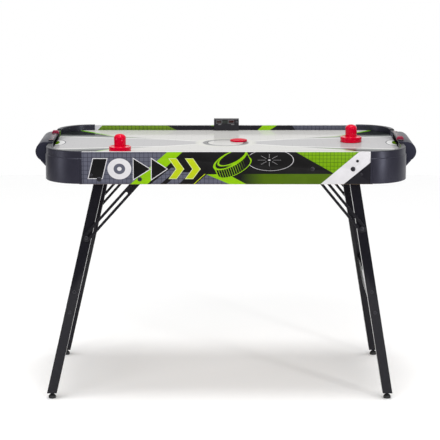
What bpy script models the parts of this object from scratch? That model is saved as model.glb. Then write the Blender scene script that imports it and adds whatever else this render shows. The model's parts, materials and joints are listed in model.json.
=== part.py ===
"""Folding air hockey table with electronic scoring, 1.22 m long, as an assembly of parts.

Metres, +Z up. The origin lies on the floor under the middle of the table, +X runs to the
right along its length and +Y to the back, where the scoreboard is. "left" is -X and
"front" is -Y. Each leg set folds up inwards about a pivot high in the aprons, the left
set one leg thickness lower than the right one, so that the two nest when both are folded.
"""
import math

import bmesh
import bpy
from mathutils import Matrix, Vector

# Driving dimensions
LENGTH = 1.220              # over the two goal hoods
TABLE_LENGTH = 1.140        # over the corner caps
TABLE_WIDTH = 0.610
RAIL_TOP = 0.8030
RAIL_HEIGHT = 0.1015
FIELD_TOP = 0.7866
BOARD = 0.013               # thickness of the rails and aprons
GAP = 0.0003                # clearance between neighbouring pieces

# Corner caps
CAP_RADIUS = 0.117
CAP_FLANGE = 0.005
CAP_PROUD = 0.0025
CAP_TOP = 0.0022            # height above the rails
CAP_RISE = 0.0015           # height of its lower edge above the rails' lower edges
CAP_RIM = 0.0178            # width of the rim, outside to inside
ARC_STEPS = 9

# Play field and air chamber
FIELD_THICKNESS = 0.004
FIELD_CORNER = 0.101
CHAMBER_HEIGHT = 0.013
CHAMBER_WALL = 0.012
PANEL_THICKNESS = 0.003
FAN_X = 0.200
FAN_OUTLET_RADIUS = 0.045

# Goals
GOAL_HALF = 0.118           # half the width of a goal hood
MOUTH_HALF = 0.095
MOUTH_SILL = 0.7823
HOOD_RADIUS = 0.031
HOOD_AXIS_Z = 0.7755
HOOD_WALL = 0.0025
HOOD_LIP_Z = 0.749
RETURN_HALF = 0.045         # half the width of the puck return opening
RETURN_Z = (0.7545, 0.7840)
TRAY_FOOT_Z = 0.7168
SCORE_RAIL_HALF = 0.100
SLIDER_HALF = 0.007
SLIDER_Y = {"left": 0.058, "right": -0.078}

# Legs, braces and feet
PIVOT_X = 0.394
BRACE_PIVOT_X = 0.268
PIVOT_Z = {"left": 0.7175, "right": 0.7495}
FOOT_X = {"left": 0.5562, "right": 0.5168}
LEG_BOTTOM = 0.0195
LEG_Y = 0.2615
LEG_WIDTH = 0.0305
LEG_DEPTH = 0.038
LEG_WALL = 0.0015
PLUG_LENGTH = 0.018
BAR_START = {"left": 0.366, "right": 0.394}     # from the pivot, along the leg
BAR_HEIGHT = 0.086
BAR_THICKNESS = 0.011
PIN_REACH = 0.195           # slot pin, from the leg's pivot
BRACE_HALF = 0.0125
BRACE_THICKNESS = 0.0025
BRACE_Y = 0.28475
SLOT_HALF = 0.0041
SLOT_START = 0.064          # from the brace's pivot
BOLT_RADIUS = 0.0040
HOLE_RADIUS = 0.0043
PIN_RADIUS = 0.0038

# Loose pieces on the field
MALLET_RADIUS = 0.035
MALLET_PLACE = {"left": (-0.3345, -0.192), "right": (0.4102, 0.020)}
PUCK_RADIUS = 0.0275
PUCK_PLACE = (0.0423, 0.034)

# Electrics
BOARD_SCREEN = (0.085, 0.0228)      # scoreboard width, and height above the rail
SCREEN_X = 0.0032                   # middle of the scoreboard
BUTTON_PLACE = (0.0387, 0.8165)
BUTTON_RADIUS = 0.0041
SWITCH_PLACE = (0.137, 0.740)       # on the left end rail, y and z
SOCKET_PLACE = (0.163, 0.740)
ROCKER_DEPTH = 0.003                # rocker's pivot, behind the rail's face
ROCKER_TILT = math.radians(-7)

SIDES = {"left": -1, "right": 1}
ENDS = {"front": -1, "rear": 1}
RAIL_BOTTOM = RAIL_TOP - RAIL_HEIGHT
BOARD_X = TABLE_LENGTH / 2 - CAP_PROUD          # outer face of the end rails
BOARD_Y = TABLE_WIDTH / 2 - CAP_PROUD           # outer face of the aprons
CAP_CENTRE = (TABLE_LENGTH / 2 - CAP_RADIUS, TABLE_WIDTH / 2 - CAP_RADIUS)
HOOD_AXIS_X = LENGTH / 2 - HOOD_RADIUS
CHAMBER_TOP = FIELD_TOP - FIELD_THICKNESS - GAP
PANEL_TOP = CHAMBER_TOP - CHAMBER_HEIGHT - GAP
PANEL_BOTTOM = PANEL_TOP - PANEL_THICKNESS

# Outlines are drawn in a plane and stand across it: XZ ones along Y, YZ ones along X
XZ = Matrix.Rotation(math.radians(90), 4, "X")
YZ = Matrix(((0, 0, 1, 0), (1, 0, 0, 0), (0, 1, 0, 0), (0, 0, 0, 1)))


def clear_scene():
    for obj in list(bpy.data.objects):
        bpy.data.objects.remove(obj, do_unlink=True)


def new_collection(name):
    collection = bpy.data.collections.new(name)
    bpy.context.scene.collection.children.link(collection)
    return collection


def new_material(name, colour, roughness, metallic=0.0):
    material = bpy.data.materials.new(name)
    material.use_nodes = True
    shader = material.node_tree.nodes["Principled BSDF"]
    shader.inputs["Base Color"].default_value = (*colour, 1.0)
    shader.inputs["Roughness"].default_value = roughness
    shader.inputs["Metallic"].default_value = metallic
    return material


clear_scene()
PARTS = new_collection("air_hockey_table")
CUTTERS = new_collection("cutters")
FIELD_WHITE = new_material("field_white", (0.80, 0.80, 0.79), 0.08)
PRINTED_BOARD = new_material("printed_board", (0.10, 0.11, 0.10), 0.35)
CAP_PLASTIC = new_material("cap_plastic", (0.045, 0.045, 0.055), 0.35)
HOOD_PLASTIC = new_material("hood_plastic", (0.03, 0.03, 0.045), 0.30)
LEG_PAINT = new_material("leg_paint", (0.02, 0.02, 0.025), 0.45)
STEEL_BLACK = new_material("steel_black", (0.03, 0.03, 0.03), 0.35, 0.6)
RUBBER = new_material("rubber", (0.015, 0.015, 0.015), 0.7)
RED_PLASTIC = new_material("red_plastic", (0.75, 0.01, 0.03), 0.15)
RAW_BOARD = new_material("raw_board", (0.35, 0.25, 0.16), 0.8)
SMOKED = new_material("smoked_window", (0.02, 0.01, 0.01), 0.05)
FAN_PLASTIC = new_material("fan_plastic", (0.02, 0.02, 0.02), 0.5)
LIGHT_PLASTIC = new_material("light_plastic", (0.45, 0.45, 0.45), 0.4)


# ---------------------------------------------------------------- building blocks

def add_object(name, mesh, material, collection=PARTS):
    obj = bpy.data.objects.new(name, mesh)
    if material:
        mesh.materials.append(material)
    collection.objects.link(obj)
    return obj


def finish_mesh(bm, name, matrix=None):
    """Turn a bmesh into a mesh with its faces outwards."""
    if matrix:
        bmesh.ops.transform(bm, matrix=matrix, verts=bm.verts)
    bmesh.ops.recalc_face_normals(bm, faces=bm.faces)
    mesh = bpy.data.meshes.new(name)
    bm.to_mesh(mesh)
    bm.free()
    return mesh


def box_mesh(name, low, high, matrix=None):
    low, high = Vector(low), Vector(high)
    bm = bmesh.new()
    bmesh.ops.create_cube(bm, size=1.0)
    bmesh.ops.scale(bm, vec=high - low, verts=bm.verts)
    bmesh.ops.translate(bm, vec=(low + high) / 2, verts=bm.verts)
    return finish_mesh(bm, name, matrix)


def cylinder_mesh(name, radius, depth, segments=20, matrix=None):
    """A cylinder along Z, centred on the origin."""
    bm = bmesh.new()
    bmesh.ops.create_cone(bm, cap_ends=True, segments=segments, radius1=radius,
                          radius2=radius, depth=depth)
    return finish_mesh(bm, name, matrix)


def outline_mesh(name, points, depth, matrix=None):
    """A flat outline, extruded to the given depth across its plane."""
    curve = bpy.data.curves.new(name, "CURVE")
    curve.dimensions = "2D"
    curve.fill_mode = "BOTH"
    curve.extrude = depth / 2
    spline = curve.splines.new("POLY")
    spline.points.add(len(points) - 1)
    for spline_point, (u, v) in zip(spline.points, points):
        spline_point.co = (u, v, 0.0, 1.0)
    spline.use_cyclic_u = True
    guide = bpy.data.objects.new(name + "_outline", curve)
    CUTTERS.objects.link(guide)
    evaluated = guide.evaluated_get(bpy.context.evaluated_depsgraph_get())
    solid = bpy.data.meshes.new_from_object(evaluated)
    bm = bmesh.new()
    bm.from_mesh(solid)
    bmesh.ops.remove_doubles(bm, verts=bm.verts, dist=1e-6)
    bpy.data.objects.remove(guide, do_unlink=True)
    bpy.data.meshes.remove(solid)
    return finish_mesh(bm, name, matrix)


def arc(centre, radius, start, end, steps):
    """Points on an arc, its angles in degrees."""
    angles = [math.radians(start + (end - start) * i / steps) for i in range(steps + 1)]
    return [(centre[0] + radius * math.cos(a), centre[1] + radius * math.sin(a)) for a in angles]


def rounded_rectangle(half_x, half_y, radius, steps=ARC_STEPS):
    points = []
    for turn, (sx, sy) in enumerate(((1, 1), (-1, 1), (-1, -1), (1, -1))):
        centre = (sx * (half_x - radius), sy * (half_y - radius))
        points += arc(centre, radius, 90 * turn, 90 * turn + 90, steps)
    return points


def stadium(start, end, radius, steps=8):
    """A slot outline along -v, its end centres at the distances start and end."""
    return arc((0, -start), radius, 0, 180, steps) + arc((0, -end), radius, 180, 360, steps)


def turned(name, profile, material, segments=20, matrix=None):
    """A turned piece about Z. The profile runs down the outer side, as (radius, z)."""
    mesh = bpy.data.meshes.new(name)
    mesh.from_pydata([(r, 0, z) for r, z in profile],
                     [(i, i + 1) for i in range(len(profile) - 1)], [])
    obj = add_object(name, mesh, material)
    if matrix:
        obj.matrix_world = matrix
    screw = obj.modifiers.new("turn", "SCREW")
    screw.steps = segments
    screw.render_steps = segments
    screw.use_merge_vertices = True
    screw.merge_threshold = 1e-5
    screw.use_smooth_shade = True
    return obj


def boolean(obj, mesh, operation, placement=None):
    """Cut the mesh out of the object, or join it on."""
    cutter = add_object(obj.name + "_" + mesh.name, mesh, None, CUTTERS)
    cutter.hide_render = True
    cutter.display_type = "WIRE"
    if placement:
        cutter.matrix_world = placement
    modifier = obj.modifiers.new(mesh.name, "BOOLEAN")
    modifier.operation = operation
    modifier.object = cutter
    modifier.solver = "EXACT"


def along_y(x, z, end):
    """A placement that points the local +Z outwards along Y, at the given end."""
    return Matrix.Translation((x, 0, z)) @ Matrix.Rotation(math.radians(-90 * end), 4, "X")


# ---------------------------------------------------------------- table top

def make_field_and_chamber():
    half_x = BOARD_X - BOARD - GAP
    half_y = BOARD_Y - BOARD - GAP
    rim = rounded_rectangle(half_x, half_y, FIELD_CORNER)
    inner = rounded_rectangle(half_x - CHAMBER_WALL, half_y - CHAMBER_WALL,
                              FIELD_CORNER - CHAMBER_WALL)

    def slab(name, outline, bottom, top):
        place = Matrix.Translation((0, 0, (bottom + top) / 2))
        return outline_mesh(name, outline, top - bottom, place)

    add_object("playfield", slab("playfield", rim, FIELD_TOP - FIELD_THICKNESS, FIELD_TOP),
               FIELD_WHITE)
    chamber_bottom = CHAMBER_TOP - CHAMBER_HEIGHT
    frame = add_object("chamber_frame", slab("chamber_frame", rim, chamber_bottom, CHAMBER_TOP),
                       RAW_BOARD)
    boolean(frame, slab("inside", inner, chamber_bottom - 0.01, CHAMBER_TOP + 0.01),
            "DIFFERENCE")
    panel = add_object("bottom_panel", slab("bottom_panel", rim, PANEL_BOTTOM, PANEL_TOP),
                       RAW_BOARD)
    outlet = cylinder_mesh("outlet", FAN_OUTLET_RADIUS, 0.02, 28)
    boolean(panel, outlet, "DIFFERENCE", Matrix.Translation((FAN_X, 0, PANEL_BOTTOM)))


def make_aprons():
    reach = CAP_CENTRE[0] + 0.003
    for end, sy in ENDS.items():
        faces = sorted((sy * BOARD_Y, sy * (BOARD_Y - BOARD)))
        mesh = box_mesh(end + "_apron", (-reach, faces[0], RAIL_BOTTOM),
                        (reach, faces[1], RAIL_TOP))
        apron = add_object(end + "_apron", mesh, PRINTED_BOARD)
        for side, sx in SIDES.items():
            for x in (PIVOT_X, BRACE_PIVOT_X):
                hole = cylinder_mesh(f"hole_{side}_{round(x * 1000)}", HOLE_RADIUS, 0.1, 16)
                place = along_y(sx * x, PIVOT_Z[side], sy)
                place.translation.y = sy * BOARD_Y
                boolean(apron, hole, "DIFFERENCE", place)


def make_end_rails():
    reach = CAP_CENTRE[1] + 0.003
    for side, sx in SIDES.items():
        outline = [(-reach, RAIL_BOTTOM), (reach, RAIL_BOTTOM), (reach, RAIL_TOP),
                   (MOUTH_HALF, RAIL_TOP), (MOUTH_HALF, MOUTH_SILL),
                   (-MOUTH_HALF, MOUTH_SILL), (-MOUTH_HALF, RAIL_TOP), (-reach, RAIL_TOP)]
        place = Matrix.Translation((sx * (BOARD_X - BOARD / 2), 0, 0)) @ YZ
        name = side + "_end_rail"
        rail = add_object(name, outline_mesh(name, outline, BOARD, place), PRINTED_BOARD)
        if side == "left":
            y, z = SWITCH_PLACE
            window = box_mesh("switch_window", (-0.05, -0.0066, -0.0101), (0.05, 0.0066, 0.0101))
            boolean(rail, window, "DIFFERENCE", Matrix.Translation((-BOARD_X, y, z)))
            y, z = SOCKET_PLACE
            bore = cylinder_mesh("socket_bore", 0.0058, 0.1, 20)
            boolean(rail, bore, "DIFFERENCE", Matrix.Translation((-BOARD_X, y, z))
                    @ Matrix.Rotation(math.radians(90), 4, "Y"))


def cap_profile():
    """Section of a corner cap: a rim over the rails, a long skirt outside and a short lip."""
    outer = CAP_RADIUS
    board_out = CAP_RADIUS - CAP_PROUD
    board_in = board_out - BOARD
    inner = CAP_RADIUS - CAP_RIM
    top = RAIL_TOP + CAP_TOP
    bottom = RAIL_BOTTOM + CAP_RISE
    step = RAIL_TOP - 0.019
    web = RAIL_TOP + GAP
    skirt = board_out + GAP
    lip = board_in - GAP
    return [(inner, FIELD_TOP + GAP), (lip, FIELD_TOP + GAP), (lip, web), (skirt, web),
            (skirt, bottom), (outer - 0.0012, bottom), (outer, bottom + 0.0015),
            (outer, step), (outer - 0.0010, step + 0.0010),
            (outer - 0.0010, top - 0.0022), (outer - 0.0022, top - 0.0006),
            (outer - 0.0034, top), (inner + 0.0012, top), (inner, top - 0.0012)]


def make_corner_caps():
    cx, cy = CAP_CENTRE
    stations = [(cx - CAP_FLANGE, cy, 90)]
    stations += [(cx, cy, 90 - 90 * i / ARC_STEPS) for i in range(ARC_STEPS + 1)]
    stations += [(cx, cy - CAP_FLANGE, 0)]
    places = [Matrix.Translation((x, y, 0)) @ Matrix.Rotation(math.radians(a), 4, "Z")
              for x, y, a in stations]
    profile = cap_profile()
    for side, sx in SIDES.items():
        for end, sy in ENDS.items():
            corner = Matrix.Diagonal((sx, sy, 1, 1))
            bm = bmesh.new()
            section = bm.faces.new([bm.verts.new(corner @ places[0] @ Vector((r, 0, z)))
                                    for r, z in profile])
            for before, after in zip(places, places[1:]):
                grown = bmesh.ops.extrude_face_region(bm, geom=[section])["geom"]
                if before is not places[0]:
                    bm.faces.remove(section)
                section = next(g for g in grown if isinstance(g, bmesh.types.BMFace))
                bmesh.ops.transform(bm, matrix=corner @ after @ before.inverted() @ corner,
                                    verts=section.verts)
            name = f"corner_cap_{side}_{end}"
            cap = add_object(name, finish_mesh(bm, name), CAP_PLASTIC)
            cap.data.set_sharp_from_angle(angle=math.radians(35))


# ---------------------------------------------------------------- goals

def mirrored(points, sx):
    return [(sx * u, v) for u, v in points]


def hood_outline(radius, inboard, roof, floor):
    """Half barrel section: a roof over the rail and an arc down to the floor."""
    last = math.degrees(math.asin((floor - HOOD_AXIS_Z) / radius))
    return ([(inboard, roof[0]), (inboard, roof[1]), (HOOD_AXIS_X, HOOD_AXIS_Z + radius)]
            + arc((HOOD_AXIS_X, HOOD_AXIS_Z), radius, 80, last, 12))


def make_goals():
    wall_x = BOARD_X + GAP
    for side, sx in SIDES.items():
        name = "goal_hood_" + side
        roof_top = HOOD_AXIS_Z + HOOD_RADIUS
        section = hood_outline(HOOD_RADIUS, BOARD_X - BOARD - 0.001,
                               (RAIL_TOP + GAP, roof_top), HOOD_LIP_Z)
        section += [(wall_x, HOOD_LIP_Z), (wall_x, RAIL_TOP + GAP)]
        hood = add_object(name, outline_mesh(name, mirrored(section, sx), 2 * GOAL_HALF, XZ),
                          HOOD_PLASTIC)
        inner = HOOD_RADIUS - HOOD_WALL
        room = hood_outline(inner, 0.5, (0.74, HOOD_AXIS_Z + inner), HOOD_LIP_Z - 0.0015)
        room += [(room[-1][0], 0.74)]
        boolean(hood, outline_mesh("pocket", mirrored(room, sx), 2 * (GOAL_HALF - HOOD_WALL), XZ),
                "DIFFERENCE")
        opening = sorted((sx * (HOOD_AXIS_X + 0.010), sx * (LENGTH / 2 + 0.01)))
        boolean(hood, box_mesh("puck_return", (opening[0], -RETURN_HALF, RETURN_Z[0]),
                               (opening[1], RETURN_HALF, RETURN_Z[1])), "DIFFERENCE")

        name = "goal_tray_" + side
        top = HOOD_LIP_Z - GAP
        lip_x = HOOD_AXIS_X + 0.0150
        section = [(wall_x, top), (lip_x, top), (lip_x, top - 0.002), (wall_x, TRAY_FOOT_Z)]
        tray = add_object(name, outline_mesh(name, mirrored(section, sx), 2 * GOAL_HALF - 0.002, XZ),
                          HOOD_PLASTIC)
        room = [(wall_x + 0.002, top + 0.01), (lip_x - 0.003, top + 0.01), (lip_x - 0.003, top - 0.002),
                (wall_x + 0.002, TRAY_FOOT_Z + 0.006)]
        boolean(tray, outline_mesh("basin", mirrored(room, sx), 2 * GOAL_HALF - 0.007, XZ),
                "DIFFERENCE")


def make_scorers():
    rail_x = BOARD_X - BOARD / 2
    floor = HOOD_AXIS_Z + HOOD_RADIUS + GAP
    half, height = 0.0085, 0.0040
    for side, sx in SIDES.items():
        low, high = sorted((sx * (rail_x - half), sx * (rail_x + half)))
        add_object("score_rail_" + side,
                   box_mesh("score_rail_" + side, (low, -SCORE_RAIL_HALF, floor),
                            (high, SCORE_RAIL_HALF, floor + height)), HOOD_PLASTIC)
        base, shoulder, crown = floor + 0.0003, floor + 0.0065, floor + 0.0125
        inner, leg = half + GAP, half + 0.0028
        section = [(-leg, base), (-inner, base), (-inner, floor + height + GAP),
                   (inner, floor + height + GAP), (inner, base), (leg, base),
                   (leg, shoulder), (leg - 0.0035, crown), (0.0035 - leg, crown),
                   (-leg, shoulder)]
        mesh = outline_mesh("score_slider_" + side, section, 2 * SLIDER_HALF, XZ)
        slider = add_object("score_slider_" + side, mesh, RED_PLASTIC)
        slider.location = (sx * rail_x, SLIDER_Y[side], 0)


# ---------------------------------------------------------------- legs

def leg_angle(side):
    """Splay of a leg set from the vertical, in radians."""
    return math.atan2(FOOT_X[side] - PIVOT_X, PIVOT_Z[side] - LEG_BOTTOM)


def leg_length(side):
    return (PIVOT_Z[side] - LEG_BOTTOM) / math.cos(leg_angle(side))


def leg_place(side):
    sx = SIDES[side]
    turn = Matrix.Rotation(-sx * leg_angle(side), 4, "Y")
    return Matrix.Translation((sx * PIVOT_X, 0, PIVOT_Z[side])) @ turn


def foot_cut(side, u):
    """Height, in the leg's own frame, of the level cut across its lower end."""
    tilt = -SIDES[side] * leg_angle(side)
    return ((LEG_BOTTOM - PIVOT_Z[side]) + u * math.sin(tilt)) / math.cos(tilt)


def pin_place(side):
    """Slot pin, seen along Y: x and z."""
    sx = SIDES[side]
    angle = leg_angle(side)
    return (sx * (PIVOT_X + PIN_REACH * math.sin(angle)),
            PIVOT_Z[side] - PIN_REACH * math.cos(angle))


def brace_span(side):
    """Distance from the brace's pivot to the slot pin, and the brace's angle."""
    x, z = pin_place(side)
    dx, dz = abs(x) - BRACE_PIVOT_X, PIVOT_Z[side] - z
    return math.hypot(dx, dz), math.atan2(dx, dz)


def make_leg(side, end):
    sy = ENDS[end]
    length = leg_length(side)
    half = LEG_WIDTH / 2
    place = leg_place(side)
    outline = arc((0, 0), half, 0, 180, 10) + [(-half, foot_cut(side, -half)),
                                               (half, foot_cut(side, half))]
    across = Matrix.Translation((0, sy * LEG_Y, 0))
    name = f"leg_{side}_{end}"
    leg = add_object(name, outline_mesh(name, outline, LEG_DEPTH, across @ XZ), LEG_PAINT)
    leg.matrix_world = place
    bore, reach = half - LEG_WALL, LEG_DEPTH / 2 - LEG_WALL
    boolean(leg, box_mesh("bore", (-bore, -reach, -length - 0.03), (bore, reach, -0.03), across),
            "DIFFERENCE", place)
    hole = cylinder_mesh("pivot_hole", HOLE_RADIUS, 0.1, 16,
                         across @ Matrix.Rotation(math.radians(90), 4, "X"))
    boolean(leg, hole, "DIFFERENCE", place)

    inside = bore - GAP
    outline = [(-inside, PLUG_LENGTH - length), (-inside, foot_cut(side, -inside)),
               (inside, foot_cut(side, inside)), (inside, PLUG_LENGTH - length)]
    name = f"leg_plug_{side}_{end}"
    plug = add_object(name, outline_mesh(name, outline, 2 * (reach - GAP), across @ XZ), RUBBER)
    plug.matrix_world = place
    foot_at = Vector((SIDES[side] * FOOT_X[side], sy * LEG_Y, 0))
    boolean(plug, cylinder_mesh("stem_hole", HOLE_RADIUS, 0.12, 16), "DIFFERENCE",
            Matrix.Translation(foot_at))

    profile = [(0, 0.0330), (BOLT_RADIUS, 0.0330), (BOLT_RADIUS, 0.0135), (0.0062, 0.0130),
               (0.0100, 0.0095), (0.0120, 0.0062), (0.0120, 0.0014), (0.0108, 0), (0, 0)]
    turned(f"foot_{side}_{end}", profile, RUBBER, 20, Matrix.Translation(foot_at))


def make_crossbar(side):
    half = BAR_THICKNESS / 2
    start = BAR_START[side]
    reach = LEG_Y - LEG_DEPTH / 2 - GAP
    place = leg_place(side)
    name = "crossbar_" + side
    bar = add_object(name, box_mesh(name, (-half, -reach, -start - BAR_HEIGHT),
                                    (half, reach, -start)), LEG_PAINT)
    bar.matrix_world = place
    inside = half - LEG_WALL
    boolean(bar, box_mesh("bar_bore", (-inside, -reach - 0.01, -start - BAR_HEIGHT + LEG_WALL),
                          (inside, reach + 0.01, -start - LEG_WALL)), "DIFFERENCE", place)


def make_brace(side, end):
    sx, sy = SIDES[side], ENDS[end]
    span, angle = brace_span(side)
    place = (Matrix.Translation((sx * BRACE_PIVOT_X, 0, PIVOT_Z[side]))
             @ Matrix.Rotation(-sx * angle, 4, "Y"))
    across = Matrix.Translation((0, sy * BRACE_Y, 0)) @ XZ
    name = f"brace_{side}_{end}"
    brace = add_object(name, outline_mesh(name, stadium(0, span, BRACE_HALF), BRACE_THICKNESS,
                                          across), STEEL_BLACK)
    brace.matrix_world = place
    boolean(brace, outline_mesh("slot", stadium(SLOT_START, span, SLOT_HALF), 0.02, across),
            "DIFFERENCE", place)
    boolean(brace, cylinder_mesh("rivet_hole", HOLE_RADIUS, 0.02, 16, across), "DIFFERENCE", place)


def make_fasteners(side, end):
    """Leg bolt, brace rivet and slot pin, turned about axes along Y."""
    sx, sy = SIDES[side], ENDS[end]
    head = BOARD_Y + GAP
    inner_face = BOARD_Y - BOARD - GAP
    leg_out = LEG_Y + LEG_DEPTH / 2 + GAP
    leg_in = LEG_Y - LEG_DEPTH / 2 - GAP
    brace_out = BRACE_Y + BRACE_THICKNESS / 2 + GAP
    brace_in = BRACE_Y - BRACE_THICKNESS / 2 - GAP
    pivot_z = PIVOT_Z[side]

    bolt = [(0, head + 0.0022), (0.0050, head + 0.0020), (0.0074, head + 0.0008),
            (0.0074, head), (BOLT_RADIUS, head), (BOLT_RADIUS, inner_face),
            (0.0075, inner_face), (0.0075, leg_out), (BOLT_RADIUS, leg_out),
            (BOLT_RADIUS, leg_in), (0.0068, leg_in), (0.0068, leg_in - 0.0055), (0, leg_in - 0.0055)]
    turned(f"leg_bolt_{side}_{end}", bolt, STEEL_BLACK, 16, along_y(sx * PIVOT_X, pivot_z, sy))

    rivet = [(0, head + 0.0018), (0.0045, head + 0.0016), (0.0068, head + 0.0006),
             (0.0068, head), (BOLT_RADIUS, head), (BOLT_RADIUS, inner_face),
             (0.0060, inner_face), (0.0060, brace_out), (BOLT_RADIUS, brace_out),
             (BOLT_RADIUS, brace_in), (0.0062, brace_in), (0.0062, brace_in - 0.0018),
             (0, brace_in - 0.0018)]
    turned(f"brace_rivet_{side}_{end}", rivet, STEEL_BLACK, 16,
           along_y(sx * BRACE_PIVOT_X, pivot_z, sy))

    pin = [(0, brace_out + 0.0019), (0.0048, brace_out + 0.0017), (0.0065, brace_out + 0.0008),
           (0.0065, brace_out), (PIN_RADIUS, brace_out), (PIN_RADIUS, leg_out), (0, leg_out)]
    x, z = pin_place(side)
    turned(f"slot_pin_{side}_{end}", pin, STEEL_BLACK, 16, along_y(x, z, sy))


# ---------------------------------------------------------------- air and electrics

def make_blower():
    top = PANEL_BOTTOM - GAP
    height, wall, radius, intake = 0.0560, 0.0020, 0.0650, 0.0360
    bottom = top - height
    shell = [(radius - wall, top), (radius, top), (radius, bottom + 0.004),
             (radius - 0.004, bottom), (intake, bottom), (intake, bottom + wall),
             (radius - wall - 0.003, bottom + wall), (radius - wall, bottom + wall + 0.003)]
    shell.append(shell[0])
    housing = turned("fan_housing", shell, FAN_PLASTIC, 32,
                     Matrix.Translation((FAN_X, 0, 0)))
    ring = Matrix.Translation((FAN_X, 0, bottom + wall / 2))
    for turn in range(2):
        spoke = box_mesh(f"spoke_{turn}", (-intake - 0.002, -0.002, -wall * 0.4),
                         (intake + 0.002, 0.002, wall * 0.4))
        boolean(housing, spoke, "UNION", ring @ Matrix.Rotation(math.radians(90 * turn), 4, "Z"))
    boolean(housing, cylinder_mesh("hub_plate", 0.0170, wall * 0.7, 24), "UNION", ring)

    motor_top = bottom + wall + 0.022
    motor = [(0, motor_top + 0.006), (0.0015, motor_top + 0.006), (0.0015, motor_top),
             (0.0130, motor_top), (0.0140, motor_top - 0.001), (0.0140, bottom + wall + GAP),
             (0, bottom + wall + GAP)]
    turned("fan_motor", motor, STEEL_BLACK, 20, Matrix.Translation((FAN_X, 0, 0)))

    base = motor_top + 0.002
    hub = [(0.0018, base + 0.010), (0.0120, base + 0.010), (0.0140, base + 0.004),
           (0.0480, base + 0.004), (0.0480, base + 0.002), (0.0120, base), (0.0018, base)]
    hub.append(hub[0])
    impeller = turned("fan_impeller", hub, FAN_PLASTIC, 24, Matrix.Translation((FAN_X, 0, 0)))
    blades = 9
    for blade in range(blades):
        vane = box_mesh(f"vane_{blade}", (0.026, -0.0008, base + 0.0030), (0.0475, 0.0008, base + 0.024))
        place = (Matrix.Translation((FAN_X, 0, 0))
                 @ Matrix.Rotation(2 * math.pi * blade / blades, 4, "Z"))
        boolean(impeller, vane, "UNION", place)


def make_switch_and_socket():
    """Power rocker, resting on "off", and the inlet for a plug-in supply."""
    y, z = SWITCH_PLACE
    rocker = [(-0.0040, -0.0085), (0.0026, -0.0093), (0.0046, -0.0093), (0.0036, 0),
              (0.0046, 0.0093), (0.0026, 0.0093), (-0.0040, 0.0085)]
    mesh = outline_mesh("power_rocker", mirrored(rocker, -1), 0.0124, XZ)
    switch = add_object("power_rocker", mesh, FAN_PLASTIC)
    switch.location = (ROCKER_DEPTH - BOARD_X, y, z)
    switch.rotation_euler.y = ROCKER_TILT

    y, z = SOCKET_PLACE
    socket = [(0, -0.0020), (0.0010, -0.0020), (0.0010, -0.0110), (0.0030, -0.0110),
              (0.0030, 0.0016), (0.0072, 0.0016), (0.0078, 0.0010), (0.0078, GAP), (0.0055, GAP),
              (0.0055, -0.0130), (0, -0.0130)]
    turned("dc_socket", socket, FAN_PLASTIC, 20,
           Matrix.Translation((-BOARD_X, y, z)) @ Matrix.Rotation(math.radians(-90), 4, "Y"))


def make_scoreboard():
    """Scoreboard that hooks over the middle of the rear rail, with a lens and a button."""
    width, height = BOARD_SCREEN
    rail_in = BOARD_Y - BOARD - GAP
    front = rail_in - 0.0117
    back = TABLE_WIDTH / 2 - 0.0010
    top = RAIL_TOP + height
    foot = FIELD_TOP + 0.0006
    section = [(front, foot), (rail_in, foot), (rail_in, RAIL_TOP + GAP), (back, RAIL_TOP + GAP),
               (back, top - 0.0013), (back - 0.0012, top), (front + 0.0012, top),
               (front, top - 0.0012)]
    name = "scoreboard_housing"
    place = Matrix.Translation((SCREEN_X, 0, 0)) @ YZ
    housing = add_object(name, outline_mesh(name, section, width, place), HOOD_PLASTIC)
    low = Vector((SCREEN_X - 0.0380, front, top - 0.0150))
    high = Vector((SCREEN_X + 0.0285, front, top - 0.0030))
    depth = Vector((0, 0.0012, 0))
    boolean(housing, box_mesh("recess", low - depth, high + depth), "DIFFERENCE")
    margin = Vector((GAP, 0, GAP))
    add_object("scoreboard_window",
               box_mesh("scoreboard_window", low + margin + depth / 6, high - margin + depth * 0.75),
               SMOKED)
    x, z = BUTTON_PLACE
    boolean(housing, cylinder_mesh("button_hole", BUTTON_RADIUS + GAP, 0.0090, 20), "DIFFERENCE",
            Matrix.Translation((0, front, 0)) @ along_y(x, z, -1))
    button = [(0, 0.0012), (BUTTON_RADIUS - 0.0012, 0.0011), (BUTTON_RADIUS, 0.0004),
              (BUTTON_RADIUS, -0.0030), (0, -0.0030)]
    turned("reset_button", button, LIGHT_PLASTIC, 20,
           Matrix.Translation((0, front, 0)) @ along_y(x, z, -1))


# ---------------------------------------------------------------- loose pieces

def make_mallets_and_puck():
    floor = FIELD_TOP + GAP
    knob, base = 0.0190, MALLET_RADIUS
    dome = [(knob * math.sin(a), 0.0450 + 0.0125 * math.cos(a))
            for a in (math.radians(15 * i) for i in range(7))]
    profile = dome + [(knob - 0.0003, 0.0200), (knob + 0.0004, 0.0172), (knob + 0.0025, 0.0160),
                      (base - 0.0045, 0.0160), (base - 0.0030, 0.0175), (base - 0.0010, 0.0175),
                      (base, 0.0165), (base, 0.0020), (base - 0.0008, 0.0006), (base - 0.0020, 0),
                      (0, 0)]
    for side, (x, y) in MALLET_PLACE.items():
        turned("mallet_" + side, profile, RED_PLASTIC, 32, Matrix.Translation((x, y, floor)))
    thickness, edge = 0.0052, 0.0006
    disc = [(0, thickness), (PUCK_RADIUS - edge, thickness), (PUCK_RADIUS, thickness - edge),
            (PUCK_RADIUS, edge), (PUCK_RADIUS - edge, 0), (0, 0)]
    turned("puck", disc, RED_PLASTIC, 32, Matrix.Translation((*PUCK_PLACE, floor)))


def main():
    make_field_and_chamber()
    make_aprons()
    make_end_rails()
    make_corner_caps()
    make_goals()
    make_scorers()
    for side in SIDES:
        make_crossbar(side)
        for end in ENDS:
            make_leg(side, end)
            make_brace(side, end)
            make_fasteners(side, end)
    make_blower()
    make_switch_and_socket()
    make_scoreboard()
    make_mallets_and_puck()


main()
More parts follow.
